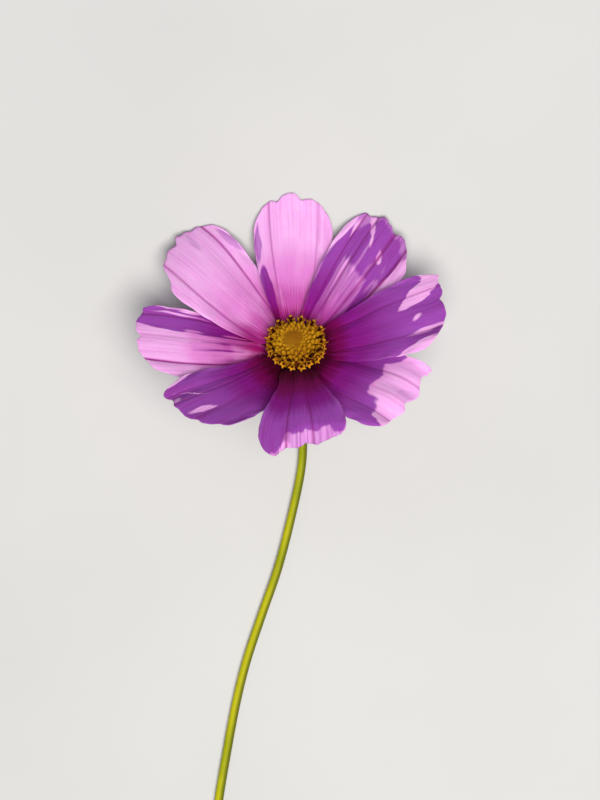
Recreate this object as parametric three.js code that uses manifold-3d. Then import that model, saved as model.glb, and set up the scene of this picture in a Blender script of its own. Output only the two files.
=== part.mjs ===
// Cosmos flower, cut with a length of stem and laid down. Millimetres, +Z up.
// The stem runs along -Y and the head looks up at its far end; the flower rests on three
// petal tips and on the cut end of the stem. The origin is under the middle of its box.
import * as THREE from "three";
import { mergeVertices } from "three/addons/utils/BufferGeometryUtils.js";
import Module from "manifold-3d";

const wasm = await Module();
wasm.setup();

// ---- Driving dimensions ----

const HEAD = { x: 1.4, y: 51.2, height: 18.55 }; // centre of the head above the surface
const HEAD_LEAN = 44; // degrees between the head's axis and straight up, towards +Y

const BLADE = 0.65; // thickness of a petal
const CLAW = { radius: 5.0, z: -2.6, angle: 60, reach: 0.07, width: 0.45, end: 0.15 };
const CREASE_SOFTNESS = 0.1; // rounds the bottom of each crease
const COLUMNS = 16; // across a petal
const ROWS = 13; // along a petal

const DISC = { stalk: 4.4, floor: -5.2, neck: -1.2, rimRadius: 6.4, rimZ: 0.9, top: 3.4 };
const RIM_FLORETS = { count: 17, radius: 6.1, lean: 58 };
const POLLEN_FLORETS = { count: 16, radius: 5.2, lean: 30 };
const BUDS = { count: 40, radius: 4.3, lean: 18 };
const GOLDEN_ANGLE = Math.PI * (3 - Math.sqrt(5));

const BRACTS = 8;
const BRACT_BLADE = 0.65;
const INNER_BRACT = { start: 6.2, startZ: -4.3, length: 4.4, halfWidth: 2.3, rise: 9, arch: 0.4 };
const OUTER_BRACT = { start: 2.2, startZ: -7.3, length: 8.6, halfWidth: 0.85, rise: 2, arch: -0.15 };

const STEM_TOP_Z = -7.9; // in the head's frame, under the collar of outer bracts
const STEM_SIDES = 14;
const STEM_RINGS = 38;
const STEM_RADIUS = { neck: 1.75, upper: 1.05, cut: 1.45 };
const NECK_FLARE = 0.035; // share of the stem that widens into the receptacle
const CUT_SLANT = 0.9; // how far the cut face leans along the stem

// ---- Materials ----

const matte = (color, roughness) =>
  new THREE.MeshStandardMaterial({ color, roughness, metalness: 0 });
const MATERIALS = {
  petal: matte(0xc878cc, 0.6),
  disc: matte(0xb07a14, 0.8),
  innerBract: matte(0x9a8a3c, 0.6),
  outerBract: matte(0x5f7d1c, 0.6),
  stem: matte(0xa8a818, 0.5),
};

// ---- Small helpers ----

const radians = THREE.MathUtils.degToRad;
const smooth = (x, from, to) => THREE.MathUtils.smoothstep(x, from, to);
const polar = (angle, radius, z) =>
  new THREE.Vector3(radius * Math.cos(angle), radius * Math.sin(angle), z);

function meshOf(positions, faces) {
  const geometry = new THREE.BufferGeometry();
  geometry.setAttribute("position", new THREE.Float32BufferAttribute(positions, 3));
  geometry.setIndex(faces);
  return geometry;
}

/** Closed solid from a grid of points on a sheet, offset half the thickness to each side. */
function thickSheet(pointAt, normalAt, rows, columns, thickness) {
  const positions = [];
  const faces = [];
  const layer = rows * columns;
  for (const side of [1, -1]) {
    for (let row = 0; row < rows; row++) {
      for (let column = 0; column < columns; column++) {
        const point = pointAt(row, column);
        point.addScaledVector(normalAt(row, column), (side * thickness) / 2);
        positions.push(point.x, point.y, point.z);
      }
    }
  }
  for (let row = 0; row + 1 < rows; row++) {
    for (let column = 0; column + 1 < columns; column++) {
      const a = row * columns + column;
      const b = a + 1;
      const c = a + columns;
      const d = c + 1;
      faces.push(a, d, c, a, b, d);
      faces.push(layer + a, layer + c, layer + d, layer + a, layer + d, layer + b);
    }
  }
  const rim = [];
  for (let column = 0; column < columns - 1; column++) rim.push(column);
  for (let row = 0; row < rows - 1; row++) rim.push(row * columns + columns - 1);
  for (let column = columns - 1; column > 0; column--) rim.push((rows - 1) * columns + column);
  for (let row = rows - 1; row > 0; row--) rim.push(row * columns);
  rim.forEach((a, i) => {
    const b = rim[(i + 1) % rim.length];
    faces.push(a, layer + b, b, a, layer + a, layer + b);
  });
  return meshOf(positions, faces);
}

/** Thick sheet over a smooth function of s (0 at the root, 1 at the tip) and t (-1 to 1). */
function blade(surface, sValues, tValues, thickness) {
  const step = 1e-3;
  const pointAt = (row, column) => surface(sValues[row], tValues[column]);
  const normalAt = (row, column) => {
    const s = sValues[row];
    const t = tValues[column];
    const along = surface(Math.min(s + step, 1), t).sub(surface(Math.max(s - step, 0), t));
    const across = surface(s, Math.min(t + step, 1)).sub(surface(s, Math.max(t - step, -1)));
    return across.cross(along).normalize();
  };
  return thickSheet(pointAt, normalAt, sValues.length, tValues.length, thickness);
}

const range = (count, value) => Array.from({ length: count }, (_, i) => value(i));

// ---- Petals ----

// Azimuths are counter-clockwise from +X, seen from the front of the head. "left" is the
// counter-clockwise side of a petal (t < 0) and "right" the clockwise side (t > 0).
const PLAIN_PETAL = {
  length: 35,
  halfWidth: 9.6,
  rise: 14,
  lift: 0,
  roll: 0,
  rollTip: 0,
  curl: [0, 0, 0],
  curlFrom: 0.75,
  curlTo: 1,
  shoulder: 0.75,
  skew: 0,
  notches: [],
  left: 1,
  right: 1,
  fullLeft: 1,
  fullRight: 1,
  neck: 0.36,
  pleat: 0.5,
  arch: 0,
  ruffle: 0,
};

const PETALS = [
  {
    azimuth: 91.5, length: 36.5, rise: 15, roll: 15, shoulder: 0.72, right: 1.05,
    curl: [22, 22, 22], curlFrom: 0.5, notches: [[-0.42, 0.045, 0.14], [0.38, 0.02, 0.12]],
  },
  {
    azimuth: 55.5, length: 36.3, halfWidth: 9.2, rise: 15.5, roll: 15, rollTip: 4, shoulder: 0.76,
    curl: [-8, -8, -8], curlFrom: 0.55, pleat: 0.75, skew: -0.02, left: 0.86, right: 1.05,
    fullRight: 0.75, notches: [[-0.2, 0.02, 0.1], [0.3, 0.035, 0.12]],
  },
  {
    azimuth: 12.5, length: 33.2, rise: 15.5, lift: 0.95, ruffle: 0.35, shoulder: 0.78,
    skew: -0.06, right: 1.12, fullRight: 0.8, notches: [[-0.2, 0.05, 0.15]],
  },
  {
    azimuth: -33, length: 31, halfWidth: 9.8, rise: 13, lift: -0.6, curl: [-40, -40, -40],
    curlFrom: 0.6, shoulder: 0.77, skew: -0.06, right: 1.18, fullRight: 0.5,
    ruffle: 0.6, notches: [[-0.15, 0.08, 0.22]],
  },
  {
    azimuth: -88, length: 32.8, rise: 18, lift: 0.7, curl: [-150, -150, -45], curlFrom: 0.6,
    curlTo: 0.9, shoulder: 0.76, skew: 0.05, left: 1.06, fullLeft: 0.7, fullRight: 0.8,
  },
  {
    azimuth: -140, length: 33.6, roll: -13, shoulder: 0.66, skew: 0.09, left: 1.05, right: 0.8,
    fullLeft: 0.5, ruffle: 0.4, notches: [[-0.1, 0.04, 0.12], [0.3, 0.03, 0.12]],
  },
  {
    azimuth: -177, length: 34.7, rise: 13, lift: -0.75, shoulder: 0.8, skew: 0.03, left: 1.08,
    right: 1.08, notches: [[0.1, 0.03, 0.1], [0.6, 0.04, 0.1]],
  },
  {
    azimuth: 137, length: 37.6, rise: 15, roll: 14, shoulder: 0.73, skew: 0.035, left: 1.1,
    curl: [-30, -30, -30], curlFrom: 0.55, right: 1.03, fullLeft: 0.6,
    notches: [[-0.1, 0.05, 0.13], [0.25, 0.045, 0.1]],
  },
].map((petal) => ({ ...PLAIN_PETAL, ...petal }));

const bySide = (t, left, right) => (t > 0 ? right : left);

/** Slope of a petal above the head's plane, in radians, a share q of its length from the claw. */
function petalSlope(petal, q, t) {
  const [left, middle, right] = petal.curl;
  const curl = middle + (bySide(t, left, right) - middle) * t * t;
  const claw = (CLAW.angle - petal.rise) * Math.exp(-q / CLAW.reach);
  return radians(petal.rise + claw + curl * smooth(q, petal.curlFrom, petal.curlTo));
}

/** Share of the petal's length at which the tip's outline lies, with its lobes and notches. */
function petalReach(petal, t) {
  const round = Math.sqrt(Math.max(0, 1 - t * t));
  const reach = petal.shoulder + (1 - petal.shoulder) * round + petal.skew * t;
  const notch = (at, depth, width) => depth * Math.exp(-(((t - at) / width) ** 2));
  return petal.notches.reduce((left, [at, depth, width]) => left - notch(at, depth, width), reach);
}

/** Point of a petal's middle surface: x runs outwards and y to its counter-clockwise side. */
function petalPoint(petal, s, t) {
  const steps = 40;
  const end = s * petalReach(petal, t);
  let radius = CLAW.radius;
  let height = CLAW.z + petal.lift;
  for (let i = 0; i < steps; i++) {
    const from = (i / steps) ** 2 * end;
    const to = ((i + 1) / steps) ** 2 * end;
    const slope = petalSlope(petal, (from + to) / 2, t);
    radius += Math.cos(slope) * (to - from) * petal.length;
    height += Math.sin(slope) * (to - from) * petal.length;
  }
  const slope = petalSlope(petal, end, t);
  const claw = CLAW.width + (1 - CLAW.width) * smooth(s, 0, CLAW.end);
  const fullness = 1 + (bySide(t, petal.fullLeft, petal.fullRight) - 1) * smooth(s, 0.05, 0.4);
  const swell = petal.neck + (1 - petal.neck) * Math.sin((Math.PI / 2) * s) ** fullness;
  const side = t * petal.halfWidth * swell * claw * bySide(t, petal.left, petal.right);
  const roll = radians(petal.roll + (petal.rollTip - petal.roll) * s);
  const spread = smooth(s, 0.03, 0.35);
  const crease = Math.sqrt(Math.cos(Math.PI * t) ** 2 + CREASE_SOFTNESS ** 2) - 0.6;
  const wave = Math.sin(3 * Math.PI * t) * smooth(s, 0.55, 1);
  const lift = -side * Math.tan(roll) + petal.ruffle * wave
    + spread * (petal.pleat * crease - petal.arch * t * t);
  return new THREE.Vector3(
    radius - Math.sin(slope) * lift,
    -side * Math.cos(roll),
    height + Math.cos(slope) * lift,
  );
}

function petalGeometry(petal) {
  const sValues = range(ROWS + 1, (i) => (i / ROWS) ** 1.3);
  const tValues = range(COLUMNS + 1, (i) => Math.sin((Math.PI / 2) * ((2 * i) / COLUMNS - 1)));
  return blade((s, t) => petalPoint(petal, s, t), sValues, tValues, BLADE);
}

// ---- Fused solids ----

function toManifold(geometry) {
  const bare = geometry.clone();
  bare.deleteAttribute("normal");
  bare.deleteAttribute("uv");
  const merged = mergeVertices(bare, 1e-4);
  return new wasm.Manifold(new wasm.Mesh({
    numProp: 3,
    vertProperties: Float32Array.from(merged.attributes.position.array),
    triVerts: Uint32Array.from(merged.index.array),
  }));
}

function fuse(geometries) {
  const solid = geometries.map(toManifold).reduce((whole, piece) => whole.add(piece));
  const mesh = solid.getMesh();
  return meshOf(Array.from(mesh.vertProperties), Array.from(mesh.triVerts));
}

function lathe(profile, sides) {
  return new THREE.LatheGeometry(profile.map(([r, y]) => new THREE.Vector2(r, y)), sides)
    .rotateX(Math.PI / 2);
}

// ---- Disc ----

const domeHeight = (radius) =>
  DISC.rimZ + (DISC.top - DISC.rimZ) * (1 - (radius / DISC.rimRadius) ** 2);

function domeGeometry() {
  const crown = range(7, (i) => {
    const radius = DISC.rimRadius * (1 - i / 6);
    return [radius, domeHeight(radius)];
  });
  const profile = [
    [0, DISC.floor],
    [DISC.stalk - 0.8, DISC.floor],
    [DISC.stalk, DISC.floor + 1.6],
    [DISC.stalk, DISC.neck],
    [DISC.rimRadius - 0.9, DISC.rimZ - 0.7],
    ...crown,
  ];
  return lathe(profile, 24);
}

const OPEN_FLORET = [[0, -1.2], [0.45, 0.4], [0.85, 1.0], [0.34, 1.05], [0.36, 1.7], [0, 2.2]];
const RIM_FLORET = [[0, -1.2], [0.45, 0.5], [0.85, 1.15], [0.3, 1.1], [0, 1.5]];
const BUD = [[0, -1.2], [0.55, 0.35], [0.3, 0.8], [0, 0.9]];

/** A floret standing on the dome at an angle and radius, leaning outwards. */
function floret(profile, angle, radius, lean, turn) {
  const place = new THREE.Object3D();
  place.position.copy(polar(angle, radius, domeHeight(radius)));
  place.rotation.set(0, radians(lean), angle, "ZYX");
  place.updateMatrix();
  return lathe(profile, 5).rotateZ(turn).applyMatrix4(place.matrix);
}

function discGeometry() {
  const ring = (profile, { count, radius, lean }, phase) =>
    range(count, (i) => {
      const angle = ((i + phase) / count) * 2 * Math.PI;
      return floret(profile, angle, radius, lean, i);
    });
  const buds = range(BUDS.count, (i) => {
    const radius = BUDS.radius * Math.sqrt((i + 0.5) / BUDS.count);
    const lean = (BUDS.lean * radius) / BUDS.radius;
    return floret(BUD, i * GOLDEN_ANGLE, radius, lean, i);
  });
  return fuse([
    domeGeometry(),
    ...ring(RIM_FLORET, RIM_FLORETS, 0.5),
    ...ring(OPEN_FLORET, POLLEN_FLORETS, 0),
    ...buds,
  ]);
}

// ---- Bracts ----

function bractPoint(bract, s, t) {
  const width = bract.halfWidth * Math.sin(Math.PI * (0.18 + 0.8 * s)) ** 0.8;
  const slope = radians(bract.rise * (1 + s));
  const out = bract.start + Math.cos(slope) * bract.length * s;
  const up = bract.startZ + Math.sin(slope) * bract.length * s - bract.arch * t * t;
  return new THREE.Vector3(out, -t * width, up);
}

function bractGeometry(bract, azimuth) {
  const sValues = range(6, (i) => i / 5);
  const tValues = [-1, 0, 1];
  const surface = (s, t) => bractPoint(bract, s, t);
  return blade(surface, sValues, tValues, BRACT_BLADE).rotateZ(azimuth);
}

const bractRing = (bract, phase) =>
  range(BRACTS, (i) => bractGeometry(bract, ((i + phase) / BRACTS) * 2 * Math.PI));

function innerBractsGeometry() {
  const cup = lathe(
    [
      [0, -6.6], [4.0, -6.4], [6.0, -5.2], [7.0, -3.7], [6.4, -3.4], [5.4, -4.5],
      [3.9, -5.55], [0, -5.55],
    ],
    24,
  );
  return fuse([cup, ...bractRing(INNER_BRACT, 0.5)]);
}

function outerBractsGeometry() {
  const collar = lathe([[0, -7.6], [2.3, -7.6], [2.9, -7.25], [2.3, -6.9], [0, -6.9]], 20);
  return fuse([collar, ...bractRing(OUTER_BRACT, 0)]);
}

// ---- Stem ----

// Route from the neck to the cut end, with X and Y measured from the head's centre.
const STEM_ROUTE = [
  [0.4, -12, 8.2],
  [1.3, -19.5, 4.3],
  [1.7, -27.5, 2.3],
  [1.2, -34, 1.8],
  [-1.5, -47, 1.75],
  [-4.7, -59.4, 1.7],
  [-8.9, -71.8, 1.65],
  [-12.7, -83.6, 1.6],
  [-15.3, -94.3, 1.55],
  [-18.2, -110, 1.5],
  [-20, -121, 1.47],
  [-22, -137, 1.45],
];

function stemCurve() {
  const lean = radians(HEAD_LEAN);
  const onAxis = (z) => new THREE.Vector3(0, z * Math.sin(lean), HEAD.height + z * Math.cos(lean));
  const points = [onAxis(STEM_TOP_Z), onAxis(STEM_TOP_Z - 3)];
  STEM_ROUTE.forEach(([x, y, z]) => points.push(new THREE.Vector3(x, y, z)));
  points.forEach((point) => point.add(new THREE.Vector3(HEAD.x, HEAD.y, 0)));
  return new THREE.CatmullRomCurve3(points, false, "centripetal");
}

function stemRadius(u) {
  const neck = (STEM_RADIUS.neck - STEM_RADIUS.upper) * (1 - smooth(u, 0, NECK_FLARE));
  return neck + STEM_RADIUS.upper + (STEM_RADIUS.cut - STEM_RADIUS.upper) * Math.sqrt(u);
}

/** Closed tube of changing radius along the stem's curve, cut on a slant at its end. */
function stemGeometry() {
  const curve = stemCurve();
  const positions = [];
  const faces = [];
  const addPoint = (point) => positions.push(point.x, point.y, point.z);
  for (let ring = 0; ring <= STEM_RINGS; ring++) {
    const u = (ring / STEM_RINGS) ** 1.25;
    const centre = curve.getPointAt(u);
    const tangent = curve.getTangentAt(u);
    const side = new THREE.Vector3(0, 0, 1).cross(tangent).normalize();
    const up = tangent.clone().cross(side);
    const slant = ring === STEM_RINGS ? CUT_SLANT : 0;
    for (let i = 0; i < STEM_SIDES; i++) {
      const angle = ((i + 0.5) / STEM_SIDES) * 2 * Math.PI;
      const point = centre.clone();
      point.addScaledVector(side, stemRadius(u) * Math.sin(angle));
      point.addScaledVector(up, stemRadius(u) * Math.cos(angle));
      point.addScaledVector(tangent, -slant * Math.cos(angle));
      addPoint(point);
    }
  }
  for (let ring = 0; ring < STEM_RINGS; ring++) {
    for (let i = 0; i < STEM_SIDES; i++) {
      const a = ring * STEM_SIDES + i;
      const b = ring * STEM_SIDES + ((i + 1) % STEM_SIDES);
      faces.push(a, a + STEM_SIDES, b + STEM_SIDES, a, b + STEM_SIDES, b);
    }
  }
  const last = STEM_RINGS * STEM_SIDES;
  for (let i = 1; i + 1 < STEM_SIDES; i++) {
    faces.push(0, i, i + 1, last, last + i + 1, last + i);
  }
  return meshOf(positions, faces);
}

// ---- Assembly ----

function named(name, geometry, material) {
  const mesh = new THREE.Mesh(geometry, material);
  mesh.name = name;
  return mesh;
}

function headGroup() {
  const head = new THREE.Group();
  head.position.set(HEAD.x, HEAD.y, HEAD.height);
  head.rotation.x = -radians(HEAD_LEAN);
  PETALS.forEach((petal, i) => {
    const mesh = named(`petal_${i + 1}`, petalGeometry(petal), MATERIALS.petal);
    mesh.rotation.z = radians(petal.azimuth);
    head.add(mesh);
  });
  head.add(named("disc", discGeometry(), MATERIALS.disc));
  head.add(named("inner_bracts", innerBractsGeometry(), MATERIALS.innerBract));
  head.add(named("outer_bracts", outerBractsGeometry(), MATERIALS.outerBract));
  return head;
}

const flower = new THREE.Group();
flower.add(headGroup());
flower.add(named("stem", stemGeometry(), MATERIALS.stem));

export default flower;
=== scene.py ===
"""Cosmos flower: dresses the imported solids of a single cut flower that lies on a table.

Lengths in the classes are millimetres; meshes are made in millimetres and scaled to metres when
they are placed. Azimuths are counter-clockwise from +X, seen from the front of the head.
"""

import logging
import random
from dataclasses import dataclass, field
from enum import Enum
from math import atan2, copysign, cos, exp, hypot, pi, radians, sin, sqrt, tan
from typing import Sequence

import bmesh
import bpy
from bmesh.types import BMEdge, BMesh, BMVert
from bpy.types import Material, Node, NodeSocket, Object
from mathutils import Matrix, Vector, noise


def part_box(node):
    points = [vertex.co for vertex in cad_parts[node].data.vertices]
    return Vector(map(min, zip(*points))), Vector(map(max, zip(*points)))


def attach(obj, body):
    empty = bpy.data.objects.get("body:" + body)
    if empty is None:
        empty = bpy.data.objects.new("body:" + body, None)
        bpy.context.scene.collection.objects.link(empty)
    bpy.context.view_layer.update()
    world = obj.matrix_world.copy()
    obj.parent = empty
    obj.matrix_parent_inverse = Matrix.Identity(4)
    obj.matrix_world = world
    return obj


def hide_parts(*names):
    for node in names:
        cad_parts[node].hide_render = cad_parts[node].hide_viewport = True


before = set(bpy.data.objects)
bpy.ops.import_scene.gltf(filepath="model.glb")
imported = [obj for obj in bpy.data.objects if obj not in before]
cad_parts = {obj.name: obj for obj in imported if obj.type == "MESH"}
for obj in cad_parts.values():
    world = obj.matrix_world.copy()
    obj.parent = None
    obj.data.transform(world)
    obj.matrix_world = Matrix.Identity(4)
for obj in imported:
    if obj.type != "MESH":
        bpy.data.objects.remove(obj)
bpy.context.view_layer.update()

LOG = logging.getLogger("cosmos")
MM = 0.001
TAU = 2 * pi
GOLDEN_ANGLE = pi * (3 - sqrt(5))

# Petals: fine relief and the depth of a fold whose painted crease shade is full, in mm;
# edges, such as the soft rim of the painted shading, as shares of their size
VEINS = 16
VEIN_HEIGHT = 0.014
CRUMPLE = 0.16
EDGE_WAVE = 0.16
TEETH = 0.006
PAINTED_SHADING_EDGE = 0.03
FULL_CREASE = 0.25


# ---- Small helpers ----

def smooth(value: float, low: float, high: float) -> float:
    """Smooth step from 0 at low to 1 at high."""
    share = min(1.0, max(0.0, (value - low) / (high - low)))
    return share * share * (3 - 2 * share)


def blend(start: float, end: float, share: float) -> float:
    """Straight blend between two values."""
    return start + (end - start) * share


def put(name: str, data: bpy.types.ID) -> Object:
    """Puts a new object into the scene."""
    thing = bpy.data.objects.new(name, data)
    bpy.context.scene.collection.objects.link(thing)
    return thing


def finish_mesh(bm: BMesh, name: str, place: Matrix, materials: Sequence[Material]) -> Object:
    """Turns a bmesh in millimetres into a placed, smooth-shaded object in metres.

    Args:
        bm: The mesh, which is freed.
        name: The object's name.
        place: Where the piece goes, in millimetres.
        materials: Its material slots, in order.

    Returns:
        The new object, at the origin with its place in its mesh.
    """
    bmesh.ops.transform(bm, matrix=Matrix.Scale(MM, 4) @ place, verts=bm.verts)
    for face in bm.faces:
        face.smooth = True
    mesh = bpy.data.meshes.new(name)
    bm.to_mesh(mesh)
    bm.free()
    for material in materials:
        mesh.materials.append(material)
    return put(name, mesh)


def thicken(piece: Object, wall: float, offset: float = 0.0, back: int = 0) -> None:
    """Gives a thin sheet its wall.

    Args:
        piece: The sheet.
        wall: The wall in millimetres.
        offset: 0 where the wall lies to both sides, -1 where it lies inside.
        back: How many slots after the front's the back's material is.
    """
    modifier = piece.modifiers.new("thickness", "SOLIDIFY")
    modifier.thickness = wall * MM
    modifier.offset = offset
    modifier.material_offset = back


def spun(section: Sequence[tuple[float, float]], steps: int) -> BMesh:
    """A round body, spun about the head's axis.

    Args:
        section: Radius and height of the points of half its section.
        steps: How many flats go round it.

    Returns:
        The new mesh, in millimetres.
    """
    bm = bmesh.new()
    verts = [bm.verts.new((radius, 0.0, z)) for radius, z in section]
    edges = [bm.edges.new(pair) for pair in zip(verts, verts[1:])]
    bmesh.ops.spin(bm, geom=verts + edges, axis=(0, 0, 1), cent=(0, 0, 0), steps=steps,
                   angle=TAU, use_merge=True)
    bmesh.ops.remove_doubles(bm, verts=bm.verts, dist=1e-4)
    bmesh.ops.recalc_face_normals(bm, faces=bm.faces)
    return bm


def extrude_rim(bm: BMesh, rim: list[BMEdge]) -> tuple[list[BMVert], list[BMEdge]]:
    """Extrudes the edges of a rim; returns the new vertices and the new rim."""
    made = bmesh.ops.extrude_edge_only(bm, edges=rim)["geom"]
    fresh = [v for v in made if isinstance(v, BMVert)]
    ring = set(fresh)
    return fresh, [e for e in made if isinstance(e, BMEdge) and ring.issuperset(e.verts)]


def map_blades(bm: BMesh, layer: object, places: dict[BMVert, tuple]) -> None:
    """Writes a UV map across and along the blades, from each vertex's side t and share s."""
    for face in bm.faces:
        for loop in face.loops:
            t, s = places[loop.vert]
            loop[layer].uv = ((t + 1) / 2, s)


def hand_over(piece: Object, node: str) -> None:
    """Puts a piece in place of a solid, on the flower's one body.

    Args:
        piece: The finished piece.
        node: The solid that it stands for.
    """
    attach(piece, "root")
    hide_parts(node)
    low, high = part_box(node)
    spread = [round((high[i] - low[i]) / MM, 1) for i in range(3)]
    LOG.info("%s stands for %s, %s mm", piece.name, node, spread)


# ---- Finishes ----

class Sheet:
    """A material's node tree, with short calls for the nodes that the finishes use."""

    def __init__(self, name: str) -> None:
        """Starts a material with a Principled shader."""
        self.material = bpy.data.materials.new(name)
        self.material.use_nodes = True
        self.tree = self.material.node_tree
        self.shader = self.tree.nodes["Principled BSDF"]

    def node(self, kind: str, inputs: dict | None = None, **settings: object) -> Node:
        """Adds a node, sets its properties and feeds its inputs, by name or by number."""
        made = self.tree.nodes.new(kind)
        for key, value in settings.items():
            setattr(made, key, value)
        for key, value in (inputs or {}).items():
            self.feed(made.inputs[key], value)
        return made

    def feed(self, socket: NodeSocket, value: object) -> None:
        """Links a socket, or sets it where the value is a number or a colour."""
        if isinstance(value, NodeSocket):
            self.tree.links.new(value, socket)
        elif isinstance(value, tuple) and len(value) == 3 and socket.type == "RGBA":
            socket.default_value = (*value, 1.0)
        else:
            socket.default_value = value

    def math(self, operation: str, *values: object, clamp: bool = False) -> NodeSocket:
        """A Math node's result."""
        inputs = dict(enumerate(values))
        return self.node("ShaderNodeMath", inputs, operation=operation, use_clamp=clamp).outputs[0]

    def times(self, first: object, second: object) -> NodeSocket:
        """The product of two values."""
        return self.math("MULTIPLY", first, second)

    def less(self, whole: float, part: object) -> NodeSocket:
        """What a part leaves of a whole."""
        return self.math("SUBTRACT", whole, part)

    def shifted(self, value: object, noise_value: object, amount: float) -> NodeSocket:
        """A value moved up and down by noise."""
        centred = self.math("SUBTRACT", noise_value, 0.5)
        return self.math("MULTIPLY_ADD", centred, amount, value)

    def step(self, value: object, low: float, high: float) -> NodeSocket:
        """Smooth step of a value between two limits."""
        inputs = {"Value": value, "From Min": low, "From Max": high}
        return self.node("ShaderNodeMapRange", inputs, interpolation_type="SMOOTHSTEP").outputs[0]

    def mix(self, share: object, first: object, second: object, how: str = "MIX") -> NodeSocket:
        """A colour mix."""
        inputs = {0: share, 6: first, 7: second}
        return self.node("ShaderNodeMix", inputs, data_type="RGBA", blend_type=how).outputs[2]

    def tint(self, colour: object, other: object, mask: object, strength: float) -> NodeSocket:
        """A colour that another one covers by a mask's value times a strength."""
        return self.mix(self.times(mask, strength), colour, other)

    def ramp(self, value: object, stops: Sequence[tuple[float, tuple]]) -> NodeSocket:
        """A colour ramp through the stops."""
        made = self.node("ShaderNodeValToRGB", {0: value})
        made.color_ramp.interpolation = "EASE"
        points = made.color_ramp.elements
        while len(points) < len(stops):
            points.new(1.0)
        for point, (place, colour) in zip(points, stops):
            point.position = place
            point.color = (*colour, 1.0)
        return made.outputs[0]

    def uv(self) -> tuple[NodeSocket, NodeSocket]:
        """The piece's own UV coordinates, across it and along it."""
        coordinates = self.node("ShaderNodeTexCoord").outputs["UV"]
        split = self.node("ShaderNodeSeparateXYZ", {0: coordinates})
        return split.outputs[0], split.outputs[1]

    def attribute(self, name: str) -> NodeSocket:
        """A vertex attribute's value."""
        return self.node("ShaderNodeAttribute", attribute_name=name).outputs["Fac"]

    def place(self) -> NodeSocket:
        """Object coordinates."""
        return self.node("ShaderNodeTexCoord").outputs["Object"]

    def grain(self, vector: object, scale: float, detail: float = 3.0) -> NodeSocket:
        """Noise between 0 and 1."""
        inputs = {"Vector": vector, "Scale": scale, "Detail": detail}
        return self.node("ShaderNodeTexNoise", inputs).outputs["Fac"]

    def streaks(self, scales: tuple, seed: int = 0, detail: float = 3.0) -> NodeSocket:
        """Noise between 0 and 1 on a blade's own map, with a scale across it and one along it."""
        values = [self.times(share, scale) for share, scale in zip(self.uv(), scales)]
        place = self.node("ShaderNodeCombineXYZ", {0: values[0], 1: values[1], 2: seed})
        return self.grain(place.outputs[0], 1.0, detail)

    def relief(self, height: object, distance: float, strength: float = 1.0) -> None:
        """Bump on the shader's normal, from a height of 0 to 1 and a depth in metres."""
        inputs = {"Height": height, "Distance": distance, "Strength": strength}
        self.feed(self.shader.inputs["Normal"], self.node("ShaderNodeBump", inputs).outputs[0])

    def done(self, colour: object, **constants: object) -> Material:
        """Sets the base colour and the shader's values, by socket name with underscores."""
        self.feed(self.shader.inputs["Base Color"], colour)
        for key, value in constants.items():
            self.shader.inputs[key.replace("_", " ")].default_value = value
        return self.material


class Face(Enum):
    """The two faces of a petal."""

    INNER = "inner"
    OUTER = "outer"


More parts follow.
